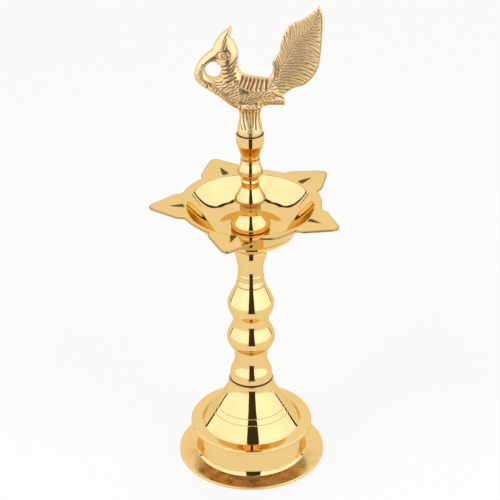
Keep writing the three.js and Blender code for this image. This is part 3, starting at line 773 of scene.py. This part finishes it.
along, across = radius * np.cos(own_angle), radius * np.sin(own_angle)
narrowing = np.clip(1 - (along - MOUTH_RADIUS) / GROOVE_LENGTH, 0, 1)
off_centre = np.abs(across) / np.maximum(narrowing * GROOVE_WIDTH / 2, 1e-3)
on_top = height > lip_top - LIP_ROUNDING
entry = np.clip((radius - GROOVE_START + GROOVE_ENTRY / 2) / GROOVE_ENTRY, 0, 1)
groove = np.sqrt(np.clip(1 - off_centre ** 2, 0, 1)) * narrowing * entry * on_top
height = height - GROOVE_DEPTH * np.clip(groove, 0, GROOVE_FLOOR)
# The lip's rounded edge, which faces partly down, is painted darker as shade; the soot in the wick grooves
# is the dish's own
at_edge = (radius > reach - 1.2 * overhang) & (height > underside - 0.01)
soot_and_edge_shade = np.maximum(np.clip(groove * SOOT_SPREAD, 0, SOOT_DARKNESS), PAINTED_EDGE_SHADE * at_edge)
count, sides = radius.shape
points = np.stack([AXIS[0] + radius * np.cos(angle) * MM, AXIS[1] + radius * np.sin(angle) * MM,
                   dish_low + height * MM], axis=-1).reshape(-1, 3)
row_start = np.arange(count)[:, None] * sides
next_start = np.roll(row_start, -1, axis=0)
side = np.arange(sides)
ahead = np.roll(side, -1)
faces = np.stack([row_start + side, row_start + ahead, next_start + ahead, next_start + side], -1)
mesh = new_mesh("cast_dish", points.tolist(), faces.reshape(-1, 4).tolist())
mesh.shade_smooth()
stain(mesh, "tarnish_and_shade", soot_and_edge_shade.ravel())
dish_brass = brass("dish_brass", (0.89, 0.64, 0.275), (0.84, 0.57, 0.215), 0.05, 0.19, drift=90.0)
dish = link("cast_dish", mesh)
mesh.materials.append(dish_brass)
finished(dish, "dish")

# Spindle
# The turned knop that holds the bird up in the middle of the bowl: a bulb that stands on the bowl's
# floor, a bell, a ring, a second bell and a cup, on one brass bar with a stud sunk in each end.
SPINDLE_LOWER_DEPTH, SPINDLE_UPPER_DEPTH = 10.0, 8.5
spindle_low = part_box("spindle")[0].z
spindle_points = outline(
    (0, SPINDLE_LOWER_DEPTH),
    (CENTRE_BORE, 0),
    (CENTRE_BORE, -SPINDLE_LOWER_DEPTH),
    (8.8, 0),
    ("to_upright", 9.95, 1.8),
    ("ease", 5.2, 7.8),
    (5.4, 3.7),
    ("from_upright", 7.65, 2.4),
    (7.65, 1.4),
    (4.4, 6.4),
    (4.4, 3.1),
    ("to_upright", 3.8, 1.0),
    ("from_upright", 6.3, 3.2),
    (6.3, 1.8),
    ("to_upright", 4.75, 6.0),
    (4.45, 0.25),
    (4.6, 0.25),
    ("from_upright", 6.5, 7.3),
    ("to_upright", 6.85, 1.2),
    (6.85, 5.0 - EDGE),
    (6.85 - EDGE, EDGE),
    (BIRD_BORE, 0),
    (BIRD_BORE, -SPINDLE_UPPER_DEPTH),
    (0, 0), rounding=0.12)
SPINDLE_CUTS = (11.9, 13.5)
# Darkened rings, each a height, a width and a strength: those at the foot and head are painted shade in the
# joints with the dish and the bird; the others darken the steps, the groove and the two cut lines
SPINDLE_LINES = [(0.0, 0.6, 0.9), (17.0, 0.4, 0.6), (26.5, 0.4, 0.5), (32.6, 0.4, 0.7), (38.8, 0.5, 0.8),
                 (52.6, 0.5, 0.9)] + [(height, 0.3, 0.7) for height in SPINDLE_CUTS]
for line_height in SPINDLE_CUTS:
    spindle_points = incise(spindle_points, line_height)
finished(turned("turned_spindle", spindle_points, spindle_low, polished_brass, 80, lines=SPINDLE_LINES),
         "spindle")

# Bird
# A brass bird cast solid on a round pedestal, with its feathers, eye and bars cut into the casting by
# hand on both sides. It is drawn side-on in hundredths of its height, across and up from its seat.
BIRD_HEIGHT = 66.6
GRID = BIRD_HEIGHT / 100
PEDESTAL_RADIUS, PEDESTAL_FOOT, PEDESTAL_WAIST_RADIUS, PEDESTAL_WAIST = 6.15, 1.2, 5.1, 10.0
PEDESTAL_TOP_RADIUS, PEDESTAL_HEIGHT = 6.4, 18.0
PEDESTAL_RING, PEDESTAL_RING_RISES = 1, (1.2, 1.8)
LOOP_CENTRE, LOOP_WIDTH, LOOP_HEIGHT = np.array([-26.2, 51.2]), 8.1, 9.8
CAST_LOOP, DRILLED_LOOP, HOLE_REACH = 0.4, 0.5, 12
BIRD_BORE_DEPTH = 9.5
GRAIN, RIBS = 0.245, 72
SATIN_ROUGHNESS = (0.27, 0.46)
DARK_CUT, DARKEST, BARB_CURL, BARB_WAVER = 0.34, 0.85, 0.035, 0.25
bird_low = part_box("bird")[0].z


def spline(points, shares):
    """A smooth line through points, at shares of its length counted by points."""
    points = np.array(points, float)
    last = len(points) - 1
    place = np.clip(np.asarray(shares) * last, 0, last - 1e-9)
    i = place.astype(int)
    t = (place - i)[:, None]
    before, a, b, after = (points[np.clip(i + k, 0, last)] for k in (-1, 0, 1, 2))
    start, end = (b - before) / 2, (after - a) / 2
    cubed, squared = 2 * a - 2 * b + start + end, 3 * b - 3 * a - 2 * start - end
    return cubed * t ** 3 + squared * t ** 2 + start * t + a


def skin(rows, sides, first=0):
    """The faces of a skin over rings of points."""
    ring = range(first, first + sides)
    return [(i * sides + a, i * sides + b, (i + 1) * sides + b, (i + 1) * sides + a)
            for i in range(rows - 1) for a, b in zip(ring, [*ring[1:], first])]


def capped(rows, sides):
    """The same, with a flat face at each end."""
    count = rows * sides
    return skin(rows, sides) + [tuple(range(sides)), tuple(range(count - 1, count - sides - 1, -1))]


def limb(first, second, thickness, sides=40):
    """A closed limb between two edges: each rib across it is an ellipse. Gives points and faces."""
    t = np.linspace(0, 1, len(first))[:, None]
    root, middle, end = thickness
    half = (root * (1 - t) * (1 - 2 * t) + middle * 4 * t * (1 - t) + end * t * (2 * t - 1)) / 2
    turn = np.linspace(0, 2 * math.pi, sides, endpoint=False)
    blend = ((1 - np.cos(turn)) / 2)[None, :, None]
    flat = first[:, None] + (second - first)[:, None] * blend
    points = np.stack([flat[..., 0] * GRID, half * np.sin(turn), flat[..., 1] * GRID], axis=-1)
    return points.reshape(-1, 3), capped(len(first), sides)


def lathe(section, sides=72):
    """A closed round solid from an outline that starts and ends on the axis."""
    turn = np.linspace(0, 2 * math.pi, sides, endpoint=False)
    inner = section[1:-1]
    points = [(0, 0, section[0][1]), (0, 0, section[-1][1])]
    points += [(r * math.cos(a), r * math.sin(a), z) for r, z in inner for a in turn]
    last = (len(inner) - 1) * sides + 2
    pairs = [(k, (k + 1) % sides) for k in range(sides)]
    ends = [(0, 2 + b, 2 + a) for a, b in pairs] + [(1, last + a, last + b) for a, b in pairs]
    return np.array(points, float), skin(len(inner), sides, 2) + ends


def rough_mesh(name, forms):
    """Closed forms in millimetres from the bird's seat, put together in one mesh in their place."""
    points, faces = [], []
    for form_points, form_faces in forms:
        start = sum(len(p) for p in points)
        points.append(form_points)
        faces += [tuple(start + k for k in face) for face in form_faces]
    place = np.concatenate(points) * MM + (*AXIS, bird_low)
    mesh = new_mesh(name, place.tolist(), faces)
    work = bmesh.new()
    work.from_mesh(mesh)
    bmesh.ops.recalc_face_normals(work, faces=work.faces)
    work.to_mesh(mesh)
    work.free()
    return link(name, mesh)


def round_loop(size, turn):
    """Points round the loop between beak and breast."""
    edge = np.stack([LOOP_WIDTH * np.cos(turn), LOOP_HEIGHT * np.sin(turn)], 1)
    return LOOP_CENTRE + size / GRID * edge


shares = np.linspace(0, 1, RIBS + 1)
loop_edge = round_loop(CAST_LOOP, np.radians(60 + 240 * shares))
NECK_FRONT = [(-23, 42), (-23, 51.5), (-25.5, 60), (-26.6, 67), (-24.3, 73.2), (-20.5, 79), (-13.6, 85)]
NECK_BACK = [(-3, 45), (-8.4, 54), (-8, 64.8), (-10.6, 73), (-13.7, 77), (-12.6, 81.5), (-12.6, 84.6)]
BEAK = [(-20, 72), (-29.7, 65), (-36, 58.4), (-39.3, 51), (-40.1, 46.2), (-37.5, 41), (-30.8, 35.8),
        (-17, 26)]
BACK = [(-31, 44.4), (-20, 47), (-7, 47.6), (2.2, 46), (12.5, 44.6), (20, 45)]
BELLY = [(-28.5, 34), (-20, 28), (-10, 22.4), (0, 20.5), (11, 22.8), (24, 29.5)]
TAIL_FRONT = [(12, 42), (16.6, 50), (16.3, 57.5), (21, 65), (22.7, 74), (27.4, 85), (37.5, 90),
              (45.2, 95.8), (49.3, 100)]
TAIL_BACK = [(22, 29), (31, 35.6), (41, 39.8), (48.6, 50), (51, 63), (51.9, 78), (52.2, 92), (50, 99.8)]
VENT_TOP, VENT_FOOT = [(2, 36), (14, 34), (25.4, 31)], [(2, 19), (13, 22.8), (25.4, 22.4)]
CHEST_TOP, CHEST_FOOT = [(-24, 40), (-10, 37), (6, 33)], [(-20, 28), (-9, 20.5), (8, 19)]
pedestal = outline((0, 0), (PEDESTAL_RADIUS, 0), (PEDESTAL_RADIUS, PEDESTAL_FOOT),
                   ("ease", PEDESTAL_WAIST_RADIUS, PEDESTAL_WAIST - PEDESTAL_FOOT),
                   ("from_upright", PEDESTAL_TOP_RADIUS,
                    PEDESTAL_HEIGHT - PEDESTAL_WAIST - sum(PEDESTAL_RING_RISES)),
                   (PEDESTAL_TOP_RADIUS + PEDESTAL_RING, PEDESTAL_RING_RISES[0]),
                   (PEDESTAL_TOP_RADIUS - PEDESTAL_RING, PEDESTAL_RING_RISES[1]),
                   (0, 0), rounding=0.1)
# Each limb's edges, and its thickness in millimetres at its root, its middle and its end
limbs = [limb(spline(first, shares), spline(second, shares), thickness) for first, second, thickness in (
    (NECK_FRONT, NECK_BACK, (7.6, 7.0, 1.6)), (BACK, BELLY, (3.04, 11.65, 4.0)),
    (TAIL_FRONT, TAIL_BACK, (5.6, 4.0, 2.0)), (VENT_TOP, VENT_FOOT, (10.4, 6.5, 3.0)),
    (CHEST_TOP, CHEST_FOOT, (7.6, 10.4, 10.4)))]
beak = limb(spline(BEAK, shares), loop_edge, (5.6, 6.0, 7.6))
casting = rough_mesh("cast_bird", [limbs[0], beak, *limbs[1:], lathe(pedestal)])
hole_edge = round_loop(DRILLED_LOOP, np.linspace(0, 2 * math.pi, RIBS + 1))
hole_points = np.array([(a * GRID, y, u * GRID)
                        for y in (-HOLE_REACH, HOLE_REACH) for a, u in hole_edge[:-1]])
cutter = rough_mesh("bird_holes", [
    (hole_points, capped(2, RIBS)),
    lathe([(0, -1), (BIRD_BORE, -1), (BIRD_BORE, BIRD_BORE_DEPTH), (0, BIRD_BORE_DEPTH)])])

fused = casting.modifiers.new("fused", "REMESH")
fused.mode = "VOXEL"
fused.voxel_size = GRAIN * MM
baked(casting)
drilled = casting.modifiers.new("drilled", "BOOLEAN")
drilled.operation = "DIFFERENCE"
drilled.solver = "MANIFOLD"
drilled.object = cutter
softened = casting.modifiers.new("softened", "SMOOTH")
softened.factor = 0.5
softened.iterations = 2
baked(casting)
bpy.data.objects.remove(cutter)


def off_line(points, line):
    """Each point's distance from a line, how far along the line it lies, and on which side."""
    nearest = np.full(len(points), np.inf)
    along = np.zeros(len(points))
    side = np.ones(len(points))
    gone = 0.0
    for a, b in zip(line[:-1], line[1:]):
        run = b - a
        length = np.hypot(*run)
        offset = points - a
        share = np.clip(offset @ run / length ** 2, 0, 1)
        away = np.hypot(*(offset - share[:, None] * run).T)
        closer = away < nearest
        nearest[closer] = away[closer]
        along[closer] = gone + share[closer] * length
        side[closer] = np.sign(run[0] * offset[closer, 1] - run[1] * offset[closer, 0])
        gone += length
    return nearest, along, side


def inside(points, corners):
    """Which points lie inside a closed shape."""
    within = np.zeros(len(points), bool)
    for (ax, ay), (bx, by) in zip(corners, np.roll(corners, -1, axis=0)):
        crossing = (ay > points[:, 1]) != (by > points[:, 1])
        with np.errstate(divide="ignore", invalid="ignore"):
            reach = (bx - ax) * (points[:, 1] - ay) / (by - ay) + ax
        within ^= crossing & (points[:, 0] < reach)
    return within


# Cut lines: each is drawn through points, with its width and depth in millimetres
EYE = [(-23.6, 63.2), (-22.7, 65.7), (-20.3, 67), (-17.2, 67.2), (-14.9, 66.1), (-14, 64), (-15.7, 62.3),
       (-18.8, 61.3), (-22, 61), (-23.6, 63.2)]
BROW = [(-17, 75.7), (-18, 71.6), (-18.8, 68.3), (-15.7, 67.4), (-14.3, 65)]
NECK_BANDS = [[(-19.7, 55.5), (-13.4, 57.2), (-8.7, 61.4)], [(-18.9, 52.9), (-13.5, 53.7), (-9.5, 58)],
              [(-19, 49.5), (-13.5, 51.2), (-10.3, 54.6)], [(-18.2, 46), (-14.3, 47.7), (-10.4, 50.3)],
              [(-16.7, 43.4), (-13.5, 44.3), (-10.4, 46.9)]]
ALMOND = [(-20.2, 37.4), (-18.3, 39.1), (-14.3, 40), (-11.2, 39.1), (-12.8, 35.6), (-16, 33.1),
          (-18.7, 34.8), (-20.2, 37.4)]
ALMOND_MARK = [(-17.5, 34.8), (-16, 33.9), (-15.2, 35.7)]
MOUTH = [(-31.9, 43.1), (-30.4, 40.9), (-31.2, 38.3)]
NOSTRIL = [(-33.9, 56.6), (-32.6, 54.9)]
BAR_TOPS = [(-4.9 + 2.87 * i, 46.9 - 0.38 * i) for i in range(7)]
BAR_FEET = [(-7.3, 41.7), (-4.6, 40.4), (-1.8, 39.1), (0.5, 38.2), (4.4, 38.2), (7.6, 38.2), (11.5, 37.7)]
LEG_ROOTS = [(-6.6, 25.2), (-2.7, 24.3), (2.1, 23.4), (7.6, 20.8)]
LEG_LINES = [[(-7.4, 19.9), (-7.5, 11.2), (-5.9, 5.9)], [(-2.7, 19.9), (-1.1, 11.1), (0.4, 4.9)],
             [(2, 19.9), (2, 11.1), (0.8, 4.9)], [(6.8, 19.9), (6.8, 11.1), (8.4, 4.9)],
             [(-5, 20.5), (-4.6, 12), (-3.2, 6.5)], [(-0.4, 20.5), (0.4, 13), (0.5, 8)],
             [(4.6, 20), (4.2, 12), (4.4, 6)]]
TAIL_RIM = [(28.7, 34.6), (38.9, 39.8), (45.8, 46.7), (49.6, 56.1), (50.9, 69.7), (51.2, 86.6),
            (50.4, 94.9)]
INNER_CURLS = [[(17.4, 57.2), (18.6, 53.8), (18.7, 48.4), (17, 43)], [(20, 57.9), (20.8, 52.8), (20, 46)]]
WING_EDGE = [(15.4, 35.6), (20.1, 31.2), (24.9, 28.6)]
pupil_turn = np.radians(np.arange(0, 361, 45))
PUPIL = [(-18.7 + 1.3 * math.cos(a), 64.2 + 1.3 * math.sin(a)) for a in pupil_turn]
CUTS = [(EYE, 0.4, 0.36), (PUPIL, 0.36, 0.3), (BROW, 0.6, 0.45), (ALMOND, 0.36, 0.3),
        (ALMOND_MARK, 0.5, 0.4), (MOUTH, 0.5, 0.5), (NOSTRIL, 0.45, 0.45), (TAIL_RIM, 0.35, 0.3),
        (WING_EDGE, 0.4, 0.35)]
CUTS += [(line, 0.7, 0.42) for line in NECK_BANDS]
CUTS += [([top, foot], 0.85, 0.6) for top, foot in zip(BAR_TOPS, BAR_FEET)]
CUTS += [(line, 0.45, 0.36) for line in LEG_LINES + INNER_CURLS]
CUTS += [([root, line[0]], 0.45, 0.36) for root, line in zip(LEG_ROOTS, LEG_LINES)]

# Feathered parts: a shape, the quill that runs through it, the barbs' spacing, and how far the barbs
# sweep forward along the quill for each step away from it, on its left and on its right
TAIL_SHAPE = [(16.4, 46), (16.4, 57.5), *TAIL_FRONT[3:], (50.6, 94.9), *TAIL_RIM[5:0:-1],
              (28.7, 34.2), (24.4, 31.6), (18.2, 35.2), (11.5, 37.8), (11.6, 41.8)]
TAIL_QUILL = [(12.4, 37.9), (16.2, 42.5), (20.8, 50.2), (24.7, 57), (27.4, 62.2), (30.1, 68.1), (33.9, 74),
              (39.2, 79.1), (44.6, 84.1), (48.3, 92.4), (49.2, 99.1)]
WING_SHAPE = [(-6.5, 35.6), (4, 37.2), (12, 37), (18, 34.5), (24.5, 30), (14, 28.2), (6, 28.2), (-2, 26.8),
              (-8.5, 30)]
WING_QUILL = [(-5.8, 26.9), (-2.6, 29.5), (2.1, 31.3), (9.1, 32.1), (17, 31.2), (23.3, 30.3)]
VENT_SHAPE = [(-6, 25.5), (6, 27.4), (14, 27.4), (23.5, 28.4), (25.4, 24), (24, 22.4), (13, 22.6),
              (6, 20.5), (-4, 21.5)]
VENT_QUILL = [(-4.2, 28.7), (5.2, 27.8), (13.1, 26), (20.9, 24.2), (24.9, 26)]
BREAST_SHAPE = [(-27.5, 43.5), (-21.5, 45.4), (-9, 42), (-7.5, 34), (-9, 25.5), (-15, 26.5), (-26.5, 35)]
BREAST_QUILL = [(-29, 43), (-18, 33), (-8, 23)]
BEAK_SHAPE = [(-33.7, 57.4), (-39, 51), (-39.8, 46.1), (-37, 41), (-32.5, 42.6), (-33.8, 47.8), (-33.2, 53)]
BEAK_QUILL = [(-31, 62), (-39.6, 54), (-42, 46), (-38, 36)]
FEATHERS = [(TAIL_SHAPE, TAIL_QUILL, 1.65, 1.0, 0.8), (WING_SHAPE, WING_QUILL, 2.2, 1.1, 1.1),
            (VENT_SHAPE, VENT_QUILL, 2.3, 0.9, 1.2), (BREAST_SHAPE, BREAST_QUILL, 1.6, 0.7, 0.7),
            (BEAK_SHAPE, BEAK_QUILL, 1.4, 0.5, 0.5)]
BARB_DEPTH, BARB_SHARPNESS, QUILL_DEPTH, QUILL_WIDTH = 0.28, 1.5, 0.3, 0.22
EDGE_FADE, SATIN_FADE, QUILL_GAP, GAP_FADE, CUT_MARGIN = 0.5, 1.2, 0.25, 0.4, 1.5
# The last is how dark the painted shade at the pedestal's seat is
CUT_FACING, FACING_FADE, PAINTED_SEAT_SHADE = 0.2, 0.4, 0.8


def cut_depth(flat):
    """How deep the casting is cut at each place, side-on, in millimetres, and where it is left satin."""
    depth, satin = np.zeros(len(flat)), np.zeros(len(flat))
    for line, width, deepest in CUTS:
        smooth = spline(np.array(line) * GRID, np.linspace(0, 1, 6 * len(line)))
        near = np.all((flat > smooth.min(0) - CUT_MARGIN) & (flat < smooth.max(0) + CUT_MARGIN), axis=1)
        away, _, _ = off_line(flat[near], smooth)
        depth[near] = np.maximum(depth[near], deepest * np.exp(-(away / (0.6 * width)) ** 2))
    for shape, quill, pitch, left_sweep, right_sweep in FEATHERS:
        corners = np.array(shape) * GRID
        near = inside(flat, corners)
        places = flat[near]
        stem = spline(np.array(quill) * GRID, np.linspace(0, 1, 60))
        away, along, side = off_line(places, stem)
        to_edge, _, _ = off_line(places, np.concatenate([corners, corners[:1]]))
        sweep = np.where(side > 0, left_sweep, right_sweep)
        waver = BARB_WAVER * np.sin(places[:, 0] * 1.3 + places[:, 1])
        phase = (along - away * sweep + BARB_CURL * away ** 2 + waver) / pitch
        barb = np.clip(np.cos(2 * math.pi * phase), 0, 1) ** BARB_SHARPNESS * BARB_DEPTH
        fade = np.clip(to_edge / EDGE_FADE, 0, 1)
        barb *= fade * np.clip((away - QUILL_GAP) / GAP_FADE, 0, 1)
        spine = QUILL_DEPTH * np.exp(-(away / QUILL_WIDTH) ** 2) * fade
        depth[near] = np.maximum(depth[near], np.maximum(barb, spine))
        satin[near] = np.maximum(satin[near], np.clip(to_edge / SATIN_FADE, 0, 1))
    return depth, satin


mesh = casting.data
count = len(mesh.vertices)
place, normal = np.zeros(count * 3), np.zeros(count * 3)
mesh.vertices.foreach_get("co", place)
mesh.vertex_normals.foreach_get("vector", normal)
place, normal = place.reshape(-1, 3), normal.reshape(-1, 3)
flat = np.stack([place[:, 0] - AXIS[0], place[:, 2] - bird_low], axis=1) / MM
facing = np.clip((np.abs(normal[:, 1]) - CUT_FACING) / FACING_FADE, 0, 1)
depth, satin = cut_depth(flat)
depth *= facing
place -= normal * depth[:, None] * MM
mesh.vertices.foreach_set("co", place.ravel())
# A dark ring at the pedestal's foot is painted shade in the joint with the spindle's cup; the cuts are
# darkened with old polish as deep as they go
painted_seat_shade = PAINTED_SEAT_SHADE * np.exp(-((flat[:, 1] - 0.2) / 0.5) ** 2)
stain(mesh, "tarnish_and_shade", np.clip(np.maximum(depth / DARK_CUT, painted_seat_shade), 0, 1) * DARKEST)
stain(mesh, "satin", satin)
mesh.shade_smooth()
engraved_brass = brass("engraved_brass", (0.92, 0.69, 0.34), (0.84, 0.59, 0.25), 0.2, 0.34, drift=160.0)
tree = engraved_brass.node_tree
scoured = node(tree, "Attribute", attribute_name="satin").outputs["Fac"]
wire(tree, "film", {"Roughness": ranged(tree, scoured, 0, 1, *SATIN_ROUGHNESS)})
mesh.materials.clear()
mesh.materials.append(engraved_brass)
finished(casting, "bird")
